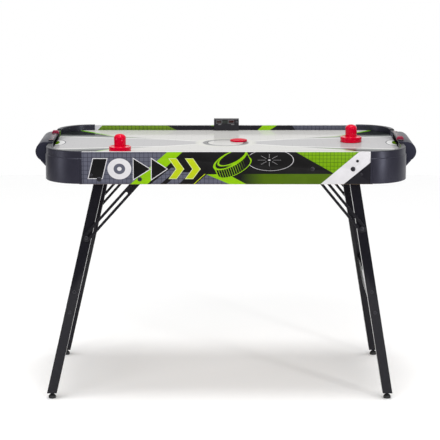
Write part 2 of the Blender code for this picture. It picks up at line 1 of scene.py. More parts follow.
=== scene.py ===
import json
import math

import bmesh
import bpy
from mathutils import Matrix, Vector


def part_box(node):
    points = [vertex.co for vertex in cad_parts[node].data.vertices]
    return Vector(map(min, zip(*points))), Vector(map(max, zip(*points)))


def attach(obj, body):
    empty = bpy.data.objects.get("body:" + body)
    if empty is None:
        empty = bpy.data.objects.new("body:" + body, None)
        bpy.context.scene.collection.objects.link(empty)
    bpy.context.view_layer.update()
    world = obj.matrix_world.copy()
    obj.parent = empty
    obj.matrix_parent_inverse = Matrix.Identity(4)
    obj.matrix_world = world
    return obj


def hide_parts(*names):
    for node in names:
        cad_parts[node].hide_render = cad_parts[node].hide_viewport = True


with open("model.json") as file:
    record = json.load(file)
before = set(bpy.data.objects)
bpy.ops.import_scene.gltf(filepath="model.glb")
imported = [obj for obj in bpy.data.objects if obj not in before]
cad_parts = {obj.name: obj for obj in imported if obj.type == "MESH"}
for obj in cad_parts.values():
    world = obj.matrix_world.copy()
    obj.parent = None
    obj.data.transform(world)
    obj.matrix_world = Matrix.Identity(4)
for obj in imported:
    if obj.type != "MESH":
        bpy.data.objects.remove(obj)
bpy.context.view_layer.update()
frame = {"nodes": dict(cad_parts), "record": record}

NODES = frame["nodes"]
RECORD = frame["record"]
BODY_OF = {n: body for body, nodes in RECORD["behaviour"]["bodies"].items() for n in nodes}

# All sizes and places are in metres
SIDES = {"left": -1, "right": 1}
ENDS = {"front": -1, "rear": 1}

RAIL_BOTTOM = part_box("front_apron")[0].z
RAIL_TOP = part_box("front_apron")[1].z
RAIL_HEIGHT = RAIL_TOP - RAIL_BOTTOM
BOARD_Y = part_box("rear_apron")[1].y
BOARD_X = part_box("right_end_rail")[1].x
BOARD = BOARD_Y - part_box("rear_apron")[0].y
FIELD_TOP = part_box("playfield")[1].z

# The grid that is printed on the boards
GRID_PITCH = 0.01343
GRID_WIDTH = 0.0017
GRID_RISE = 0.0039          # the lowest line above the board's lower edge

# Masks that tell the faces of a solid apart
SKIN = 0.0004               # how deep a face's colour reaches into the solid
CRISP = 0.0002              # width of the mask's soft edge

WELD = 2e-5                 # vertices of a CAD mesh that are nearer than this are joined
FLAT = 0.5                  # its faces that meet within this many degrees are merged
LATHE_STEPS = 72


# ---------------------------------------------------------------- colours

def srgb(r, g, b):
    """A colour as seen on a screen, 0 to 255, as the linear values that shaders take."""
    return tuple((v / 255 / 12.92) if v <= 10 else ((v / 255 + 0.055) / 1.055) ** 2.4
                 for v in (r, g, b))


LIME = srgb(138, 190, 7)
LIME_DEEP = srgb(92, 130, 10)
YELLOW_GREEN = srgb(182, 198, 24)
PALE_LIME = srgb(222, 230, 170)
STRIP_GREEN = srgb(76, 104, 10)
INK = srgb(22, 21, 22)
GRID_GREY = srgb(94, 95, 109)
GRID_LINE = srgb(62, 62, 74)
PAPER = srgb(219, 217, 220)
NEAR_BLACK = srgb(28, 27, 33)
BLUISH = (0.78, 0.80, 1.0)
ROSY = (1.0, 0.40, 0.50)


# ---------------------------------------------------------------- material building

class Num:
    """A number that varies over a surface, with arithmetic."""

    def __init__(self, look, socket):
        self.look, self.socket = look, socket

    def __add__(self, other):
        return self.look.math("ADD", self, other)

    def __sub__(self, other):
        return self.look.math("SUBTRACT", self, other)

    def __rsub__(self, other):
        return self.look.math("SUBTRACT", other, self)

    def __mul__(self, other):
        return self.look.math("MULTIPLY", self, other)

    def __abs__(self):
        return self.look.math("ABSOLUTE", self)

    def min(self, other):
        return self.look.math("MINIMUM", self, other)

    def max(self, other):
        return self.look.math("MAXIMUM", self, other)

    def edge(self, width=0.0005):
        """1 where the number is above 0, with a narrow soft edge."""
        return self.look.math("MULTIPLY_ADD", self, 1 / width, 0.5, clamp=True)

    def rise(self, start, length):
        """0 up to start, then evenly up to 1 over a length; a fall if the length is negative."""
        return self.look.math("MULTIPLY_ADD", self, 1 / length, -start / length, clamp=True)

    def line(self, slope, through):
        """Height of the straight line of this slope through a point."""
        return self.look.math("MULTIPLY_ADD", self, slope, through[1] - slope * through[0])

    def within(self, half, middle=0.0):
        """Distance inside the band that reaches half to each side of the middle."""
        return half - abs(self - middle if middle else self)


class Graph:
    """A node tree and the arithmetic on its sockets."""

    def __init__(self, tree):
        self.tree = tree
        self.tree.nodes.clear()

    def node(self, kind):
        return self.tree.nodes.new(kind)

    def put(self, socket, value):
        """Give an input socket a value, or link it to an output socket."""
        if isinstance(value, Num):
            value = value.socket
        if isinstance(value, bpy.types.NodeSocket):
            self.tree.links.new(value, socket)
        elif isinstance(value, tuple) and socket.type == "RGBA":
            socket.default_value = (*value, 1.0)
        else:
            socket.default_value = value

    def math(self, operation, *terms, clamp=False):
        """The result of a Math node, kept between 0 and 1 if clamp is set."""
        node = self.node("ShaderNodeMath")
        node.operation = operation
        node.use_clamp = clamp
        for socket, term in zip(node.inputs, terms):
            self.put(socket, term)
        return Num(self, node.outputs[0])

    def map_range(self, value, start, end, low, high, interpolation="LINEAR"):
        """Goes from low to high as the value goes from start to end, and stays there."""
        node = self.node("ShaderNodeMapRange")
        node.interpolation_type = interpolation
        self.put(node.inputs["Value"], value)
        for name, number in zip(("From Min", "From Max", "To Min", "To Max"),
                                (start, end, low, high)):
            node.inputs[name].default_value = number
        return Num(self, node.outputs[0])


class Look(Graph):
    """A procedural material: a Principled shader with nodes in object space."""

    def __init__(self, name, colour, roughness, **values):
        self.material = bpy.data.materials.new(name)
        self.material.use_nodes = True
        super().__init__(self.material.node_tree)
        self.shader = self.node("ShaderNodeBsdfPrincipled")
        output = self.node("ShaderNodeOutputMaterial")
        self.tree.links.new(self.shader.outputs[0], output.inputs["Surface"])
        self.place = self.node("ShaderNodeTexCoord").outputs["Object"]
        split = self.node("ShaderNodeSeparateXYZ")
        self.put(split.inputs[0], self.place)
        self.x, self.y, self.z = (Num(self, s) for s in split.outputs)
        self.set("Base Color", colour)
        self.set("Roughness", roughness)
        for socket, value in values.items():
            self.set(socket.replace("_", " "), value)

    def set(self, name, value):
        """Set or link an input of the shader, named in any case."""
        names = {s.name.lower(): s for s in self.shader.inputs}
        self.put(names[name.lower()], value)

    def length(self, a, b):
        """Length of the vector (a, b)."""
        joined = self.node("ShaderNodeCombineXYZ")
        self.put(joined.inputs[0], a)
        self.put(joined.inputs[1], b)
        node = self.node("ShaderNodeVectorMath")
        node.operation = "LENGTH"
        self.put(node.inputs[0], joined.outputs[0])
        return Num(self, node.outputs["Value"])

    def mix(self, share, low, high):
        """The first colour where share is 0 and the second where it is 1."""
        node = self.node("ShaderNodeMix")
        node.data_type = "RGBA"
        # Numbers and vectors have their own sockets in this node, which come before the colours'
        first, second, result = node.inputs[6], node.inputs[7], node.outputs[2]
        self.put(node.inputs["Factor"], share)
        self.put(first, low)
        self.put(second, high)
        return result

    def scaled(self, colour, amount):
        """The colour made lighter or darker."""
        node = self.node("ShaderNodeVectorMath")
        node.operation = "SCALE"
        self.put(node.inputs[0], colour)
        self.put(node.inputs["Scale"], amount)
        return node.outputs[0]

    def paint(self, colour, *layers):
        """Layers of (mask, colour), each painted over the ones before."""
        for mask, over in layers:
            colour = self.mix(mask, colour, over)
        return colour

    def noise(self, scale, detail=2.0, roughness=0.5, stretch=(1.0, 1.0, 1.0)):
        """Noise in object space; stretch multiplies its scale along x, y and z."""
        mapping = self.node("ShaderNodeMapping")
        self.put(mapping.inputs["Vector"], self.place)
        mapping.inputs["Scale"].default_value = stretch
        node = self.node("ShaderNodeTexNoise")
        self.put(node.inputs["Vector"], mapping.outputs[0])
        node.inputs["Scale"].default_value = scale
        node.inputs["Detail"].default_value = detail
        node.inputs["Roughness"].default_value = roughness
        return Num(self, node.outputs[0])

    def spread(self, noise, low, high):
        """Noise, which lies around one half, stretched to run from low to high."""
        return self.map_range(noise, 0.3, 0.7, low, high)

    def bump(self, height, strength, distance):
        """Relief on the surface, distance deep where strength is 1."""
        node = self.node("ShaderNodeBump")
        node.inputs["Strength"].default_value = strength
        node.inputs["Distance"].default_value = distance
        self.put(node.inputs["Height"], height)
        self.put(self.shader.inputs["Normal"], node.outputs[0])


def left_of(look, u, v, p, q):
    """Distance to the left of the line from p to q."""
    du, dv = q[0] - p[0], q[1] - p[1]
    reach = math.hypot(du, dv)
    a, b = -dv / reach, du / reach
    return look.math("MULTIPLY_ADD", u, a, look.math("MULTIPLY_ADD", v, b, -a * p[0] - b * p[1]))


def polygon(look, u, v, points):
    """Distance inside a convex polygon, given anticlockwise."""
    inside = None
    for p, q in zip(points, points[1:] + points[:1]):
        side = left_of(look, u, v, p, q)
        inside = side if inside is None else inside.min(side)
    return inside


def oval(look, u, v, centre, radii, tilt=0.0):
    """Approximate distance inside an ellipse."""
    c, s = math.cos(tilt), math.sin(tilt)
    du, dv = u - centre[0], v - centre[1]
    along = look.math("MULTIPLY_ADD", dv, s / radii[0], du * (c / radii[0]))
    across = look.math("MULTIPLY_ADD", dv, c / radii[1], du * (-s / radii[1]))
    return (1.0 - look.length(along, across)) * min(radii)


def grid(look, u, v, pitch, width):
    """1 on the lines of a square grid."""
    near = look.math("PINGPONG", u, pitch / 2).min(look.math("PINGPONG", v, pitch / 2))
    return (width / 2 - near).edge()


def stripes(look, u, pitch, width):
    """1 on evenly spaced stripes."""
    near = look.math("PINGPONG", u, pitch / 2)
    return (width / 2 - near).edge()


# ---------------------------------------------------------------- printed boards

def board_grid(look, u, v):
    """1 on the lines of the grid that is printed on the boards."""
    return grid(look, u, v - GRID_RISE, GRID_PITCH, GRID_WIDTH)


def shape(look, u, v, *points):
    """1 inside a convex outline, given anticlockwise."""
    return polygon(look, u, v, list(points)).edge()


def outlined(look, colour, u, v, points):
    """Paint a dark convex shape with a pale outline around it."""
    outline = 0.0022
    inside = polygon(look, u, v, points)
    return look.paint(colour, ((inside + outline).edge(), PAPER), (inside.edge(), INK))


def side_bands(look, u, v):
    """Slanting bands over the grid of a long side."""
    top, strip_top = RAIL_HEIGHT, 0.0325
    first_line = -0.4294
    gridded = look.mix(board_grid(look, u - first_line, v), GRID_GREY, GRID_LINE)
    strip = look.mix(u.rise(0.045, 0.075), INK, STRIP_GREEN)

    def quad(*points):
        return shape(look, u, v, *points)

    return look.paint(
        gridded,
        (left_of(look, u, v, (-0.135, top), (-0.245, 0)).edge(), INK),
        (quad((-0.298, 0), (-0.245, 0), (-0.135, top), (-0.182, top)), LIME),
        (quad((-0.236, 0), (-0.205, 0), (-0.145, 0.052), (-0.170, 0.052)), gridded),
        (quad((-0.186, 0), (-0.148, 0), (-0.108, 0.038), (-0.142, 0.038)), gridded),
        (quad((-0.095, 0), (0.012, 0), (-0.060, 0.031)), gridded),
        (quad((-0.1020, 0), (-0.0985, 0), (-0.0635, strip_top), (-0.0670, strip_top)), YELLOW_GREEN),
        (quad((0.030, 0), (0.400, 0), (0.400, strip_top), (0.030, strip_top)), strip),
        (quad((0.012, 0), (0.064, 0), (0.005, 0.0315), (-0.062, 0.0315)), LIME),
    )


def emblem(look, colour, u, v):
    """A slanted block, a puck seen from above, two arrowheads and two chevrons."""
    block = [(-0.4270, 0.0190), (-0.3850, 0.0190), (-0.3700, 0.0800), (-0.4120, 0.0800)]
    colour = outlined(look, colour, u, v, block)
    centre = (-0.3310, 0.0485)
    disc = oval(look, u, v, centre, (0.0370, 0.0330))
    ring = oval(look, u, v, centre, (0.0180, 0.0165))
    dot = oval(look, u, v, centre, (0.0070, 0.0064))
    colour = look.paint(colour, ((disc + 0.0008).edge(), GRID_LINE), (disc.edge(), PAPER),
                        (ring.edge(), GRID_GREY), (dot.edge(), PAPER))
    foot, waist, head = 0.0180, 0.0480, 0.0800
    for x, reach in ((-0.2870, 0.0500), (-0.2310, 0.0470)):
        colour = outlined(look, colour, u, v, [(x, head), (x, 0.0160), (x + reach, waist)])
    step = 0.0220
    for x in (-0.1760, -0.1250):
        lower = [(x, foot), (x + step, foot), (x + 2 * step, waist), (x + step, waist)]
        upper = [(x + step, waist), (x + 2 * step, waist), (x + step, head), (x, head)]
        chevron = polygon(look, u, v, lower).max(polygon(look, u, v, upper))
        colour = look.paint(colour, ((chevron + 0.0014).edge(), PALE_LIME),
                            (chevron.edge(), YELLOW_GREEN))
    return colour


def slanted_puck(look, colour, u, v):
    """Drawing of a puck seen at a slant, with a ribbed wall and a dished top."""
    tilt, radii = math.radians(27), (0.0550, 0.0212)
    upper = oval(look, u, v, (0.0127, 0.0775), radii, tilt)
    lower = oval(look, u, v, (0.0252, 0.0525), radii, tilt)
    dish = oval(look, u, v, (0.0190, 0.0845), (0.0475, 0.0168), tilt)
    between = polygon(look, u, v, [(-0.0363, 0.0525), (-0.0238, 0.0275), (0.0742, 0.0775),
                                   (0.0617, 0.1025)])
    wall = lower.max(between)
    ribs = stripes(look, u + v * 0.35, 0.0078, 0.0015) * u.rise(0.060, -0.030)
    crescent = (0.0100 - u).edge(0.024)
    return look.paint(colour, ((wall + 0.0018).edge(), LIME), (wall.edge(), INK),
                      (wall.edge() * ribs, LIME), ((upper + 0.0012).edge(), LIME),
                      ((upper - 0.0018).edge() * crescent, INK),
                      ((dish + 0.0012).edge(), LIME), ((dish - 0.0010).edge(), INK))


def circle_and_burst(look, colour, u, v):
    """A thin circle, open at its left end, around a burst of eight rays."""
    circle = oval(look, u, v, (0.1370, 0.0760), (0.0720, 0.0332))
    colour = look.paint(colour, (circle.within(0.0004).edge() * (u - 0.074).edge(0.004), PAPER))
    centre, squash, rays = (0.1340, 0.0760), 1.9, 8
    du, dv = u - centre[0], (v - centre[1]) * squash
    reach = look.length(du, dv)
    turn = look.math("ARCTAN2", dv, du)
    off_ray = look.math("PINGPONG", turn, math.pi / rays) * reach
    burst = (0.0006 - off_ray).edge() * (0.0360 - reach).edge() * (reach - 0.0120).edge()
    dot = (0.0040 - reach).edge(0.002)
    return look.paint(colour, (burst * 0.55, PAPER), (dot * 0.8, PAPER))


def long_side_print(look, u, v):
    """Graphics on the outer face of a long side: u along it, v up from its lower edge."""
    colour = side_bands(look, u, v)
    for draw in (emblem, slanted_puck, circle_and_burst):
        colour = draw(look, colour, u, v)
    top, past_top = RAIL_HEIGHT, RAIL_HEIGHT + 0.001
    fine_grid = grid(look, u - 0.0045, v, 0.0114, 0.0013)
    green = look.mix(fine_grid, srgb(116, 162, 6), srgb(64, 100, 8))
    wedge = shape(look, u, v, (0.334, 0.0345), (0.412, past_top), (0.214, past_top))
    band = shape(look, u, v, (0.293, 0), (0.365, 0), (0.448, 0.0685), (0.470, top), (0.412, top))
    corner = shape(look, u, v, (0.365, 0), (0.480, 0), (0.480, 0.0950), (0.448, 0.0685))
    return look.paint(colour, (wedge, green), (band, PAPER), (corner, NEAR_BLACK))


def inner_long_print(look, u, v):
    """Graphics on the inner face of a long side, above the field."""
    level = v - (FIELD_TOP - RAIL_BOTTOM)
    tall = RAIL_TOP - FIELD_TOP + 0.001
    lines = board_grid(look, u, level)
    leaf = look.mix(lines, srgb(102, 133, 30), srgb(57, 82, 16))
    slate = look.mix(lines, srgb(80, 82, 95), srgb(50, 51, 64))

    def part(foot, head):
        """Between two pairs of positions, at the foot and at the top of the board."""
        return shape(look, u, level, (foot[0], 0.0), (foot[1], 0.0), (head[1], tall), (head[0], tall))

    notch = shape(look, u, level, (-0.0390, 0.0130), (-0.0280, 0.0130), (-0.0280, tall),
                  (-0.0575, tall))
    return look.paint(
        NEAR_BLACK,
        (part((-0.500, -0.438), (-0.500, -0.421)), srgb(200, 200, 204)),
        (part((-0.438, -0.167), (-0.421, -0.203)), leaf),
        (notch, LIME),
        (part((0.110, 0.152), (0.129, 0.179)), LIME),
        (part((0.240, 0.500), (0.227, 0.500)), slate),
    )


def end_rail_print(look, u, v):
    """Graphics on both faces of an end rail: u along it, v up from its lower edge."""
    gridded = look.mix(board_grid(look, u, v), GRID_GREY, GRID_LINE)
    leaning = u - v * 0.9

    def part(start, end):
        return (leaning - start).edge() * (end - leaning).edge()

    return look.paint(NEAR_BLACK, (part(-0.30, -0.12), gridded), (part(-0.150, -0.105), LIME),
                      (part(0.050, 0.095), LIME_DEEP), (part(0.095, 0.30), gridded),
                      (part(0.135, 0.150), PAPER))


def board_look(name, along, across, outer, inner, rim):
    """A foil-covered board: printed outside and above the field, raw below inside.

    along and across name the object axes along the board and through it."""
    look = Look(name, PAPER, 0.35, specular_IOR_level=0.18)
    run, depth = getattr(look, along), getattr(look, across)
    v = look.z - RAIL_BOTTOM
    face, flip = (BOARD_Y, -1.0) if across == "y" else (BOARD_X, 1.0)
    rightward = run * look.math("SIGN", depth) * flip
    outside = outer(look, rightward, v)
    inside = inner(look, rightward * -1.0, v)
    is_outer = (abs(depth) - (face - SKIN)).edge(CRISP)
    is_inner = ((face - BOARD + SKIN) - abs(depth)).edge(CRISP)
    is_above = (look.z - (FIELD_TOP - 0.001)).edge()
    is_below = (RAIL_BOTTOM + SKIN - look.z).edge(CRISP)
    fibre = look.spread(look.noise(420.0, 3.0, 0.6, (0.25, 0.25, 1.6)), 0.0, 1.0)
    raw = look.mix(fibre, srgb(150, 124, 92), srgb(176, 150, 116))
    colour = look.paint(rim, (is_inner, raw), (is_inner * is_above, inside),
                        (is_outer, outside), (is_below, raw))
    look.set("Base Color", look.scaled(colour, look.spread(look.noise(38.0, 4.0, 0.6), 0.94, 1.03)))
    look.set("Roughness", look.spread(look.noise(24.0, 3.0), 0.30, 0.42))
    look.bump(look.noise(900.0, 2.0), 0.06, 0.0002)
    return look.material


def field_print(look):
    """Colour of the field's print, which is the same in each quarter."""
    x, y = abs(look.x), abs(look.y)
    slanted = x.line(0.41, (0.126, 0.045))
    shallow = x.line(0.17, (0.200, 0.076))
    steep = x.line(1.127, (0.379, 0.156))
    inner, outer = slanted.min(shallow), slanted.max(steep)
    past_inner, past_outer = y - inner, y - outer

    lane = (inner - 0.004 - y).edge(0.004) * (x - 0.090).edge(0.01)
    border = past_inner.within(0.0055, 0.0010).edge(0.003) * (x - 0.100).edge(0.03)
    dark = (past_inner - 0.006).edge(0.004) * (outer - y).edge(0.003)
    dark_tone = look.mix(past_inner.rise(0.006, 0.050), srgb(150, 153, 152), srgb(33, 36, 36))
    leaf = (outer - y + 0.004).edge(0.003) * (past_outer + 0.014).edge(0.004) * x.rise(0.29, 0.10)
    leaf_tone = look.mix(x.rise(0.39, 0.06), srgb(168, 190, 140), srgb(118, 186, 20))

    radius = look.length(look.x, look.y)
    halo = radius.within(0.0100, 0.0900).edge(0.006)
    ring = radius.within(0.0085, 0.0665).edge(0.002)
    ring_share = x.rise(0.030, 0.03) * 0.45 + 0.35
    ring_line = radius.within(0.0012, 0.0590).edge()

    goal_x = BOARD_X - BOARD
    crease = oval(look, x, y, (goal_x, 0.0), (0.0290, 0.0580))
    spot = oval(look, x, y, (goal_x, 0.0), (0.0120, 0.0380))
    return look.paint(
        srgb(203, 202, 199), (lane, srgb(179, 178, 179)), (halo * 0.5, srgb(212, 213, 202)),
        (dark, dark_tone), (border, srgb(222, 222, 219)), (leaf, leaf_tone),
        (ring * ring_share, srgb(90, 92, 94)), (ring_line, srgb(60, 62, 64)),
        ((crease + 0.0032).edge(), srgb(84, 86, 90)), (crease.edge(), srgb(216, 216, 216)),
        (spot.edge(), LIME_DEEP))


def air_hole_shade(look):
    """1 in the field's air holes, a square grid of dots, which are painted dark as the shade inside
    each hole.
    """
    pitch, radius = 0.0254, 0.0007
    u = look.math("PINGPONG", look.x + pitch / 2, pitch / 2)
    v = look.math("PINGPONG", look.y + pitch / 2, pitch / 2)
    return (radius - look.length(u, v)).edge(CRISP)


def field_look():
    """Glossy white laminate with a light print and painted shade in its air holes, raw board
    underneath.
    """
    look = Look("field_laminate", PAPER, 0.12, IOR=1.075)
    is_under = (FIELD_TOP - SKIN - look.z).edge(CRISP)
    # The air holes get painted shade: a dark dot where each hole is.
    look.set("Base Color", look.paint(field_print(look), (air_hole_shade(look), srgb(30, 30, 30)),
                                      (is_under, srgb(160, 134, 102))))
    look.set("Roughness", look.spread(look.noise(9.0, 3.0), 0.09, 0.14))
    look.bump(look.noise(60.0, 2.0), 0.02, 0.0002)
    return look.material


# ---------------------------------------------------------------- other materials

def plastic_look(name, colour, roughness, grain=0.15, scale=1400.0, shaded_top=None, **values):
    """Moulded plastic: a fine grain, faint flow marks and slightly uneven gloss.

    Given a level in z and a tone, it paints shade: what lies above the level takes that darker tone."""
    look = Look(name, colour, roughness, **values)
    flow = look.spread(look.noise(14.0, 3.0, 0.55, (1.0, 1.0, 0.4)), 0.0, 1.0)
    darker = tuple(v * 0.90 for v in colour)
    lighter = tuple(min(1.0, v * 1.08) for v in colour)
    tone = look.mix(flow, darker, lighter)
    # Painted shade: above the given level the tone turns darker, as on a top that takes little light.
    if shaded_top:
        level, shaded_top_tone = shaded_top
        tone = look.mix((look.z - level).edge(0.0010), tone, shaded_top_tone)
    look.set("Base Color", tone)
    look.set("Roughness", look.spread(look.noise(55.0, 3.0), roughness * 0.88, roughness * 1.14))
    look.bump(look.noise(scale, 2.0, 0.6), grain, 0.00012)
    return look.material


def paint_look(name, colour, roughness, peel=0.25, **values):
    """Powder coat: orange peel over a dark base, a little worn to a lighter tone."""
    look = Look(name, colour, roughness, **values)
    wear = look.spread(look.noise(120.0, 4.0, 0.65), 0.0, 1.0)
    worn = tuple(min(1.0, v * 1.25 + 0.002) for v in colour)
    look.set("Base Color", look.mix(wear, colour, worn))
    look.set("Roughness", look.spread(look.noise(40.0, 3.0), roughness * 0.9, roughness * 1.12))
    look.bump(look.noise(520.0, 2.0, 0.5), peel, 0.00018)
    return look.material


def fibreboard_look():
    """Raw fibreboard: pale and dark clouds with fine flecks."""
    look = Look("fibreboard", srgb(165, 138, 104), 0.85, specular_IOR_level=0.2)
    fleck = look.spread(look.noise(700.0, 4.0, 0.7, (1.0, 0.45, 1.0)), 0.0, 1.0)
    cloud = look.spread(look.noise(18.0, 3.0), 0.0, 0.5)
    base = look.mix(cloud, srgb(168, 141, 106), srgb(148, 122, 90))
    look.set("Base Color", look.mix(fleck * 0.5, base, srgb(120, 96, 66)))
    look.bump(look.noise(600.0, 3.0), 0.25, 0.0003)
    return look.material


def scale_look():
    """Dark score scale with pale ticks, and a wider and longer pink one at every fifth step."""
    dark = srgb(34, 33, 40)
    look = Look("score_scale", dark, 0.35)
    step = 0.0090
    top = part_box("score_rail_left")[1].z
    across = abs(look.x) - (BOARD_X - BOARD / 2)
    printed = look.y.within(0.095).edge() * (look.z - (top - SKIN)).edge(CRISP)
    tick = stripes(look, look.y, step, 0.0014) * across.within(0.0030, -0.0020).edge()
    fifth = stripes(look, look.y, step * 5, 0.0030) * across.within(0.0062).edge()
    look.set("Base Color", look.paint(dark, (tick * printed, srgb(225, 225, 228)),
                                      (fifth * printed, srgb(214, 120, 140))))
    look.set("Roughness", look.spread(look.noise(60.0), 0.30, 0.42))
    look.bump(look.noise(1200.0), 0.08, 0.0001)
    return look.material


def window_look():
    """Smoked lens over a plain panel between two framed pairs of unlit seven-segment digits."""
    look = Look("smoked_lens", srgb(14, 11, 12), 0.06, specular_IOR_level=0.6)
    low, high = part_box("scoreboard_window")
    width, middle = high.x - low.x, (high.z - low.z) / 2
    u, v = look.x - low.x, look.z - low.z
    panel = u.within(0.0115, width / 2).edge() * v.within(middle - 0.0010, middle).edge()
    colour = look.paint(srgb(16, 12, 13), (panel, srgb(34, 40, 37)))
    reach, tall = 0.0020, 0.0040
    for pair in (0.0125, width - 0.0125):
        inset = u.within(0.0098, pair).min(v.within(middle - 0.0008, middle))
        colour = look.paint(colour, (inset.within(0.0005).edge(0.0003), srgb(128, 128, 134)))
        for shift in (-0.0038, 0.0038):
            du, dv = u - (pair + shift), v - middle
            uprights = abs(du).within(0.00055, reach).min(dv.within(tall))
            bars = (0.00050 - look.math("PINGPONG", dv, tall)).min(du.within(reach))
            digit = uprights.max(bars.min(dv.within(tall + 0.0004)))
            colour = look.paint(colour, (digit.edge(CRISP), srgb(66, 24, 20)))
    look.set("Base Color", colour)
    look.set("Roughness", look.spread(look.noise(30.0), 0.05, 0.09))
    return look.material


def scoreboard_look():
    """Black housing with a pale bar, in place of a label, under each pair of digits."""
    look = Look("scoreboard_plastic", srgb(30, 29, 35), 0.40, specular_IOR_level=0.35)
    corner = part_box("scoreboard_housing")[0]
    u = look.x - corner.x
    label = 0.0050
    labels = u.within(label, 0.0195).max(u.within(label, 0.0640))
    line = look.z.within(0.0008, RAIL_TOP + 0.0042)
    is_front = (corner.y + SKIN - look.y).edge(CRISP)
    ink = labels.min(line).edge(0.0003) * is_front
    base = look.mix(look.spread(look.noise(30.0), 0.0, 1.0), srgb(28, 27, 33), srgb(33, 32, 38))
    look.set("Base Color", look.mix(ink * 0.55, base, srgb(190, 190, 194)))
    look.set("Roughness", look.spread(look.noise(70.0), 0.34, 0.46))
    look.bump(look.noise(1500.0), 0.15, 0.0001)
    return look.material


APRON_LOOK = board_look("long_side_print", "x", "y", long_side_print, inner_long_print,
                        rim=srgb(214, 213, 214))
RAIL_LOOK = board_look("end_rail_print", "y", "x", end_rail_print, end_rail_print, rim=NEAR_BLACK)
FIELD_LOOK = field_look()
# The caps' tops, above the rails, take a darker tone as painted shade.
CAP_LOOK = plastic_look("cap_plastic_satin", srgb(40, 39, 49), 0.36, grain=0.08,
                        shaded_top=(RAIL_TOP + 0.0006, srgb(24, 24, 29)), specular_IOR_level=0.42,
                        Specular_Tint=BLUISH)
HOOD_LOOK = plastic_look("hood_plastic_satin", srgb(46, 46, 58), 0.32, grain=0.12,
                         specular_IOR_level=0.10, Specular_Tint=BLUISH)
RED_LOOK = plastic_look("red_plastic_gloss", srgb(212, 0, 43), 0.07, grain=0.02,
                        specular_IOR_level=0.34, Specular_Tint=ROSY)
SLIDER_LOOK = plastic_look("red_plastic_dark", srgb(142, 30, 62), 0.40, grain=0.05,
                           specular_IOR_level=0.30)
PUCK_LOOK = plastic_look("red_plastic_satin", srgb(212, 3, 48), 0.30, grain=0.05, IOR=1.12)
LEG_LOOK = paint_look("leg_powder_coat", srgb(21, 20, 26), 0.13, peel=0.04, specular_IOR_level=0.22)
BAR_LOOK = paint_look("crossbar_powder_coat", srgb(21, 20, 26), 0.14, peel=0.04)
BRACE_LOOK = paint_look("brace_powder_coat", srgb(24, 23, 28), 0.26, peel=0.12,
                        specular_IOR_level=0.30)
STEEL_LOOK = paint_look("blackened_steel", srgb(50, 49, 54), 0.32, peel=0.10, metallic=0.5,
                        specular_IOR_level=0.25)
RUBBER_LOOK = plastic_look("black_rubber", srgb(27, 27, 29), 0.62, grain=0.30, scale=900.0)
FAN_LOOK = plastic_look("fan_plastic_matt", srgb(30, 30, 32), 0.50, grain=0.20)
BUTTON_LOOK = plastic_look("button_plastic", srgb(62, 62, 68), 0.35, grain=0.05)
BOARD_LOOK = fibreboard_look()
SCALE_LOOK = scale_look()
WINDOW_LOOK = window_look()
SCOREBOARD_LOOK = scoreboard_look()


# ---------------------------------------------------------------- mesh building

def add_piece(name, mesh, material, body, node=None):
    """Put a new piece into the scene, riding on a CAD body.

    It stands for a CAD node, which it hides, or for no node."""
    obj = bpy.data.objects.new(name, mesh)
    bpy.context.scene.collection.objects.link(obj)
    mesh.materials.append(material)
    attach(obj, body)
    if node:
        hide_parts(node)


def finish(bm, name, sharp=35.0):
    """Turn a bmesh into a smoothly shaded mesh, with edges above an angle kept sharp."""
    bmesh.ops.recalc_face_normals(bm, faces=bm.faces)
    mesh = bpy.data.meshes.new(name)
    bm.to_mesh(mesh)
    bm.free()
    mesh.shade_smooth()
    mesh.set_sharp_from_angle(angle=math.radians(sharp))
    return mesh


def refine(node, material, bevel=0.0, segments=2, least_angle=30.0):
    """A copy of a CAD node's mesh with its sharp edges rounded, in place of the node."""
    bm = bmesh.new()
    bm.from_mesh(NODES[node].data)
    bmesh.ops.remove_doubles(bm, verts=bm.verts, dist=WELD)
    bmesh.ops.dissolve_limit(bm, angle_limit=math.radians(FLAT), verts=bm.verts, edges=bm.edges)
    if bevel:
        edges = [e for e in bm.edges if len(e.link_faces) == 2 and e.is_manifold
                 and e.calc_face_angle(0.0) > math.radians(least_angle)
                 and e.calc_length() > bevel * 1.5]
        bmesh.ops.bevel(bm, geom=edges, offset=bevel, segments=segments, profile=0.5,
                        affect="EDGES", clamp_overlap=True)
    name = node + "_look"
    add_piece(name, finish(bm, name), material, BODY_OF[node], node)


def bridge(bm, rings):
    """Skin between closed rings of vertices, with a face over the first and the last."""
    for near, far in zip(rings, rings[1:]):
        for i in range(len(near)):
            j = (i + 1) % len(near)
            bm.faces.new((near[i], near[j], far[j], far[i]))
    bm.faces.new(rings[0])
    bm.faces.new(rings[-1])


def lathe(name, profile, place):
    """A turned mesh about Z from (radius, z) points, from the top centre to the bottom centre."""
    bm = bmesh.new()
    turns = [2 * math.pi * i / LATHE_STEPS for i in range(LATHE_STEPS)]
    rings = [[bm.verts.new((r * math.cos(a), r * math.sin(a), z)) for a in (turns if r else [0.0])]
             for r, z in profile]
    for upper, lower in zip(rings, rings[1:]):
        for i in range(LATHE_STEPS):
            j = (i + 1) % LATHE_STEPS
            corners = [upper[i % len(upper)], upper[j % len(upper)],
                       lower[j % len(lower)], lower[i % len(lower)]]
            bm.faces.new(list(dict.fromkeys(corners)))
    bmesh.ops.transform(bm, matrix=place, verts=bm.verts)
    return finish(bm, name)


def arc(centre, radius, start, end, steps):
    """Points on an arc, its angles in degrees."""
    turns = [math.radians(start + (end - start) * i / steps) for i in range(steps + 1)]
    return [(centre[0] + radius * math.cos(a), centre[1] + radius * math.sin(a)) for a in turns]


def standing_on(low, high):
    """The place of a turned piece that stands on the middle of a box's bottom."""
    return Matrix.Translation(((low.x + high.x) / 2, (low.y + high.y) / 2, low.z))


# ---------------------------------------------------------------- corner caps

